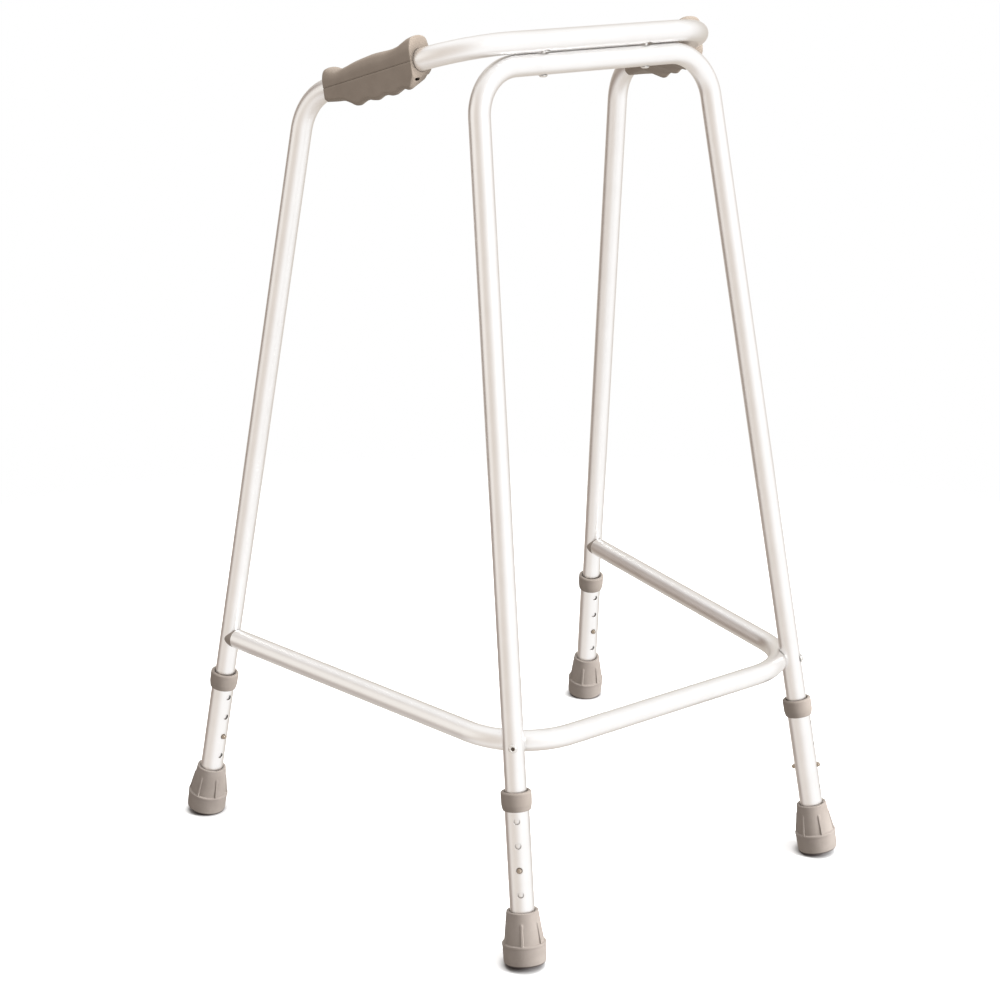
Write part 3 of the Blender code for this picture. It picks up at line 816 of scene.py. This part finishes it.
def build_buttons(materials):
    stem_end, dome_start, dome = 0.0084, 0.0133, 0.0028
    profile = [(0.0, stem_end), (dome - 0.0002, stem_end), (dome, stem_end + 0.0002)]
    for step in range(12):
        angle = math.pi / 2 * step / 12
        profile.append((dome * math.cos(angle), dome_start + dome * math.sin(angle)))
    profile.append((0.0, dome_start + dome))
    for leg in LEGS.values():
        for name, direction in (("outer", leg.outward), ("inner", -leg.outward)):
            place = placement(leg.at_button, direction, leg.up)
            add_piece(f"dome_{leg.name}_{name}", turned(profile, even_angles(40), place),
                      f"button_{leg.name}_{name}", [f"snap_button_{leg.name}_{name}"],
                      [materials["steel"]], 60)


def build_saddles(materials):
    """Grey plugs that fill the leaf-shaped space between the brace's square end and round leg."""
    angles = even_angles(72)
    outer = TUBE_RADIUS - 0.0002
    spigot = 0.0091
    end = BRACE_END - 0.0002
    for leg in (LEGS["rear_left"], LEGS["rear_right"]):
        place = placement(leg.at_brace, -brace_direction(leg.side), Vector((0, 0, 1)))
        axis = place.to_3x3().inverted() @ leg.up

        def face_height(x, y):
            """How far from the leg's middle its skin lies along the brace, at that offset."""
            a = 1 - axis.z ** 2
            b = -2 * axis.z * (x * axis.x + y * axis.y)
            c = x * x + y * y - (x * axis.x + y * axis.y) ** 2 - LEG_CLEARANCE ** 2
            return (-b + math.sqrt(max(0.0, b * b - 4 * a * c))) / (2 * a)

        bm = bmesh.new()
        rings = []
        for part in (0.12, 0.3, 0.5, 0.7, 0.85, 0.95, 1.0):
            ring = []
            for angle in angles:
                x, y = outer * part * math.cos(angle), outer * part * math.sin(angle)
                ring.append(bm.verts.new(place @ Vector((x, y, face_height(x, y)))))
            rings.append(ring)
        for radius, height in ((outer, end), (spigot, end), (spigot, BRACE_END + 0.016)):
            points = [Vector((radius * math.cos(a), radius * math.sin(a), height)) for a in angles]
            rings.append([bm.verts.new(place @ point) for point in points])
        for low, high in pairwise(rings):
            join_rings(bm, low, high)
        bm.faces.new(rings[0])
        bm.faces.new(rings[-1])
        side_name = "left" if leg.side > 0 else "right"
        add_piece(f"saddle_plug_{side_name}", bm, "frame", [f"brace_saddle_{side_name}"],
                  [materials["collar"]], 35)


# ---------------------------------------------------------------- hand grips

def smooth_value(points, place):
    """A curve through the listed (place, value) points that doesn't overshoot between them."""
    places = [p for p, _ in points]
    values = [v for _, v in points]
    slopes = [(b - a) / (q - p) for p, q, a, b in zip(places, places[1:], values, values[1:])]
    tangents = [slopes[0]]
    for low, high in pairwise(slopes):
        tangents.append(0.0 if low * high <= 0 else 2 * low * high / (low + high))
    tangents.append(slopes[-1])
    index = max(i for i in range(len(places) - 1) if places[i] <= place or i == 0)
    after = index + 1
    span = places[after] - places[index]
    t = min(1.0, max(0.0, (place - places[index]) / span))
    blend = 3 * t ** 2 - 2 * t ** 3
    return (values[index] * (1 - blend) + values[after] * blend
            + (t ** 3 - 2 * t ** 2 + t) * span * tangents[index]
            + (t ** 3 - t ** 2) * span * tangents[after])


class Handle:
    """One straight handle, with its places as (forward, outboard, up) from its rear corner."""

    def __init__(self, side):
        rear = LEGS["rear_left" if side > 0 else "rear_right"]
        self.corner = rear.at_height(REAR_CORNER_HEIGHT)
        front = Vector((RAIL_FRONT_HALF_WIDTH * side, FRONT_TOP_Y, RAIL_HEIGHT))
        self.forward = (front - self.corner).normalized()
        self.up = (Vector((0, 0, 1)) - self.forward * self.forward.z).normalized()
        self.outboard = self.up.cross(self.forward) * side

    def place(self, forward, outboard, up):
        """The point there on a plane across the handle that leans forward at its top."""
        return (self.corner + self.forward * (forward + GRIP_END_LEAN * up)
                + self.outboard * outboard + self.up * up)


def spread(points, count):
    """The same outline with count + 1 points at even lengths."""
    lengths = [0.0]
    for low, high in pairwise(points):
        lengths.append(lengths[-1] + (Vector(high) - Vector(low)).length)
    result = []
    index = 0
    for step in range(count + 1):
        want = lengths[-1] * step / count
        while index < len(points) - 2 and lengths[index + 1] < want:
            index += 1
        part = (want - lengths[index]) / (lengths[index + 1] - lengths[index])
        result.append(Vector(points[index]).lerp(Vector(points[index + 1]), part))
    return result


GRIP_COLUMNS = 64
GRIP_ROWS = 96
GRIP_EDGE = 0.0008
# Half the gap between the shells, and how the edges beside it are eased
PARTING = 0.00008
PARTING_ROUND = 0.0004


def shell_outline(points, radii, sign):
    """A shell's outline from outboard to inboard, with both edges eased at the parting line."""
    half = GRIP_HALF_WIDTH
    flat, eased = sign * PARTING, sign * (PARTING + PARTING_ROUND)
    lip = [Vector((half - PARTING_ROUND, flat)), Vector((half, eased))]
    mirror_lip = [Vector((-half, eased)), Vector((-half + PARTING_ROUND, flat))]
    return spread(lip + rounded(points, radii)[1:-1] + mirror_lip, GRIP_COLUMNS)


def upper_outline(place):
    height = smooth_value(GRIP_TOP, place)
    half = GRIP_HALF_WIDTH
    points = [(half, PARTING), (half, height * 0.50), (half * 0.80, height * 0.90),
              (half * 0.30, height), (-half * 0.30, height), (-half * 0.80, height * 0.90),
              (-half, height * 0.50), (-half, PARTING)]
    return shell_outline(points, [0, 0.014, 0.008, 0.02, 0.02, 0.008, 0.014, 0], 1)


def lower_outline(place):
    deep = smooth_value(GRIP_DEPTH, place)
    shallow = max(deep - GRIP_INBOARD_RISE, GRIP_LEAST_DEPTH)
    half = GRIP_HALF_WIDTH
    points = [(half, -PARTING), (half, -deep + 0.0030), (0.76 * half, -deep),
              (-0.70 * half, -shallow), (-half, -shallow + 0.0045), (-half, -PARTING)]
    return shell_outline(points, [0, 0.0022, 0.0030, 0.0050, 0.0040, 0], -1)


def grip_shell(handle, upper):
    """Half of a hand grip, lofted along the handle round a half-round bore."""
    bm = bmesh.new()
    edge = GRIP_EDGE
    stations = [(0.0, edge), (edge * 0.3, edge * 0.3), (edge, 0.0)]
    stations += [(edge + (GRIP_LENGTH - 2 * edge) * step / GRIP_ROWS, 0.0)
                 for step in range(1, GRIP_ROWS)]
    stations += [(GRIP_LENGTH - distance, inset) for distance, inset in reversed(stations[:3])]
    sign = 1 if upper else -1
    outline_at = upper_outline if upper else lower_outline
    bore = []
    for step in reversed(range(GRIP_COLUMNS + 1)):
        angle = math.pi * step / GRIP_COLUMNS
        bore.append((GRIP_BORE * math.cos(angle), sign * max(GRIP_BORE * math.sin(angle), PARTING)))
    rings = []
    for along, inset in stations:
        shrink = 1 - inset / GRIP_HALF_WIDTH
        points = [point * shrink for point in outline_at(along / GRIP_LENGTH)] + bore
        rings.append([bm.verts.new(handle.place(GRIP_START + along, across, lift))
                      for across, lift in points])
    for low, high in pairwise(rings):
        join_rings(bm, low, high)
    last = 2 * GRIP_COLUMNS + 1
    for ring in (rings[0], rings[-1]):
        for index in range(GRIP_COLUMNS):
            inner = last - index
            bm.faces.new((ring[index], ring[index + 1], ring[inner - 1], ring[inner]))
    return bm


def cut_core_hole(piece, handle):
    """A blind rounded core hole in the lower shell's front."""
    front = GRIP_START + GRIP_LENGTH + GRIP_END_LEAN * CORE_HOLE_DROP
    middle = handle.place(front, CORE_HOLE_ACROSS, -CORE_HOLE_DROP)
    profile = [(0.0, -CORE_HOLE_DEPTH), (1.0, -CORE_HOLE_DEPTH),
               (1.0, CORE_HOLE_DEPTH), (0.0, CORE_HOLE_DEPTH)]
    oval = Matrix.Diagonal((CORE_HOLE_HALF_HEIGHT, CORE_HOLE_HALF_WIDTH, 1.0, 1.0))
    bm = turned(profile, even_angles(36), placement(middle, handle.forward, handle.up) @ oval)
    bmesh.ops.recalc_face_normals(bm, faces=bm.faces)
    # The cutter's faces carry material 1, the painted shade, onto the hole's walls.
    for face in bm.faces:
        face.material_index = 1
    cutter = mesh_object("core_cutter", bm)
    boolean = piece.modifiers.new("core_hole", "BOOLEAN")
    boolean.operation = "DIFFERENCE"
    boolean.solver = "EXACT"
    boolean.object = cutter
    bpy.context.view_layer.update()
    evaluated = piece.evaluated_get(bpy.context.evaluated_depsgraph_get())
    result = bpy.data.meshes.new_from_object(evaluated)
    piece.modifiers.clear()
    piece.data = result
    bpy.data.objects.remove(cutter)


def build_grips(materials):
    for side_name, side in (("left", 1), ("right", -1)):
        handle = Handle(side)
        for half_name, upper in (("upper", True), ("lower", False)):
            piece = add_piece(f"grip_{half_name}_{side_name}", grip_shell(handle, upper), "frame",
                              [f"grip_{half_name}_shell_{side_name}"],
                              [materials["grip"], materials["bore"]], 48)
            if not upper:
                cut_core_hole(piece, handle)


# ---------------------------------------------------------------- hidden CAD pieces and studio

def finish_cad_nodes(materials):
    for name, node in frame["nodes"].items():
        for prefix, key in (("button_spring", "strip"), ("ferrule_washer", "steel")):
            if name.startswith(prefix):
                node.data.materials.clear()
                node.data.materials.append(materials[key])


FLOOR_RADIUS = 1.5
FLOOR_COLOUR = (0.80, 0.795, 0.79)
# The floor's painted contact shadow under a foot: its colour, its reach, and how much of the sky is open
# where it is full and where it ends
CONTACT_SHADOW_COLOUR = (0.100, 0.084, 0.080)
CONTACT_REACH = 0.012
CONTACT_DARK = 0.20
CONTACT_OPEN = 0.85


def build_floor():
    """A round white floor with a painted contact shadow under each foot, whose rim fades out, so that no edge
    shows against the background.
    """
    bm = bmesh.new()
    bmesh.ops.create_circle(bm, cap_ends=True, segments=96, radius=FLOOR_RADIUS)
    floor = mesh_object("floor", bm)
    floor.location.z = -0.0002
    n = material_nodes("white_floor")
    # Painted contact shadow: the floor's colour darkens where ambient occlusion finds a foot near.
    contact = n.add("ShaderNodeAmbientOcclusion")
    contact.samples = 16
    contact.inputs["Distance"].default_value = CONTACT_REACH
    colour = n.ramp(contact.outputs["AO"], CONTACT_SHADOW_COLOUR, FLOOR_COLOUR, CONTACT_DARK, CONTACT_OPEN)
    n.link(colour, n.shader.inputs["Base Color"])
    n.shader.inputs["Roughness"].default_value = 0.9
    n.shader.inputs["Specular IOR Level"].default_value = 0.1
    coordinates = n.add("ShaderNodeTexCoord")
    length = n.add("ShaderNodeVectorMath", operation="LENGTH")
    n.link(coordinates.outputs["Object"], length.inputs[0])
    fade = n.add("ShaderNodeMapRange")
    fade.inputs["From Min"].default_value = FLOOR_RADIUS * 0.62
    fade.inputs["From Max"].default_value = FLOOR_RADIUS * 0.98
    n.link(length.outputs["Value"], fade.inputs["Value"])
    clear = n.add("ShaderNodeBsdfTransparent")
    blend = n.add("ShaderNodeMixShader")
    n.link(fade.outputs["Result"], blend.inputs["Fac"])
    n.link(n.shader.outputs["BSDF"], blend.inputs[1])
    n.link(clear.outputs["BSDF"], blend.inputs[2])
    n.link(blend.outputs["Shader"], n.tree.nodes["Material Output"].inputs["Surface"])
    floor.data.materials.append(n.owner)
    floor.visible_diffuse = False
    floor.visible_glossy = False
    floor.visible_shadow = False


# The studio's light by direction: a bright room, then soft patches in degrees as (azimuth,
# elevation, angle of the full patch, angle where it ends, colour), each laid over the last
BACKDROP_STRENGTH = 1.25
ROOM_LIGHT = (1.09, 1.08, 1.075, 1.0)
SOFT_PATCHES = (
    (0, -90, 5, 50, (0.74, 0.68, 0.63, 1.0)),
    (114, -7, 1, 59, (0.13, 0.065, 0.038, 1.0)),
    (185, 7, 3, 76, (0.75, 0.68, 0.62, 1.0)),
    (47, -18, 1, 79, (0.63, 0.57, 0.50, 1.0)),
    (151, 10, 16, 33, (1.02, 0.98, 0.935, 1.0)),
    (292, 32, 3, 10, (13.0, 13.0, 13.0, 1.0)),
)


def build_world():
    """A white background, with the room's patched light for everything but the camera."""
    world = bpy.data.worlds.new("studio")
    bpy.context.scene.world = world
    n = Nodes(world)
    n.tree.nodes.clear()
    coordinates = n.add("ShaderNodeTexCoord")
    studio = n.add("ShaderNodeBackground")
    layer = None
    for azimuth, elevation, full, end, colour in SOFT_PATCHES:
        azimuth, elevation = math.radians(azimuth), math.radians(elevation)
        level = math.cos(elevation)
        toward = n.add("ShaderNodeVectorMath", operation="DOT_PRODUCT")
        toward.inputs[1].default_value = (level * math.cos(azimuth), level * math.sin(azimuth),
                                          math.sin(elevation))
        n.link(coordinates.outputs["Generated"], toward.inputs[0])
        reach = n.add("ShaderNodeMapRange", interpolation_type="SMOOTHSTEP")
        reach.inputs["From Min"].default_value = math.cos(math.radians(end))
        reach.inputs["From Max"].default_value = math.cos(math.radians(full))
        n.link(toward.outputs["Value"], reach.inputs["Value"])
        mix = n.add("ShaderNodeMix", data_type="RGBA")
        mix.inputs["A"].default_value = ROOM_LIGHT
        mix.inputs["B"].default_value = colour
        n.link(reach.outputs["Result"], mix.inputs["Factor"])
        if layer:
            n.link(layer, mix.inputs["A"])
        layer = mix.outputs["Result"]
    n.link(layer, studio.inputs["Color"])
    white = n.add("ShaderNodeBackground", Strength=BACKDROP_STRENGTH)
    seen = n.add("ShaderNodeLightPath")
    blend = n.add("ShaderNodeMixShader")
    out = n.add("ShaderNodeOutputWorld")
    n.link(seen.outputs["Is Camera Ray"], blend.inputs["Fac"])
    n.link(studio.outputs["Background"], blend.inputs[1])
    n.link(white.outputs["Background"], blend.inputs[2])
    n.link(blend.outputs["Shader"], out.inputs["Surface"])


def area_light(name, location, target, size, power, colour):
    """A square soft light that shines on surfaces and isn't seen in their reflections."""
    light = bpy.data.lights.new(name, "AREA")
    light.shape = "RECTANGLE"
    light.size = light.size_y = size
    light.energy = power
    light.color = colour
    obj = new_object(name, light)
    obj.location = location
    obj.rotation_euler = (Vector(target) - Vector(location)).to_track_quat("-Z", "Y").to_euler()
    obj.visible_glossy = False


def build_lights():
    area_light("key", (1.75, -2.65, 1.45), (0.0, 0.0, 0.40), 1.4, 285.0, (0.945, 0.975, 1.0))
    area_light("top", (0.0, -0.1, 3.0), (0.0, 0.0, 0.3), 2.4, 100.0, (0.95, 0.975, 1.0))


CAMERA_PLACE = Vector((-1.4161, -1.7738, 1.1246))
CAMERA_YAW = math.radians(37.575)
CAMERA_PITCH = math.radians(17.902)
CAMERA_ROLL = math.radians(0.367)
CAMERA_LENS = 77.32
SENSOR_WIDTH = 36.0


def build_camera():
    level = math.cos(CAMERA_PITCH)
    ahead = Vector((math.sin(CAMERA_YAW) * level, math.cos(CAMERA_YAW) * level,
                    -math.sin(CAMERA_PITCH)))
    level_right = Vector((math.cos(CAMERA_YAW), -math.sin(CAMERA_YAW), 0.0))
    level_up = level_right.cross(ahead)
    right = level_right * math.cos(CAMERA_ROLL) + level_up * math.sin(CAMERA_ROLL)
    up = level_up * math.cos(CAMERA_ROLL) - level_right * math.sin(CAMERA_ROLL)
    data = bpy.data.cameras.new("camera")
    data.lens = CAMERA_LENS
    data.sensor_width = SENSOR_WIDTH
    data.clip_end = 50.0
    camera = new_object("camera", data)
    rotation = Matrix((right, up, -ahead)).transposed()
    camera.matrix_world = Matrix.Translation(CAMERA_PLACE) @ rotation.to_4x4()
    bpy.context.scene.camera = camera


def build():
    materials = make_materials()
    for build_part in (build_tubes, build_extensions, build_collars, build_ferrules, build_rivets,
                       build_buttons, build_saddles, build_grips, finish_cad_nodes):
        build_part(materials)
    build_floor()
    build_world()
    build_lights()
    build_camera()
    bpy.context.scene.view_settings.view_transform = "Standard"


build()
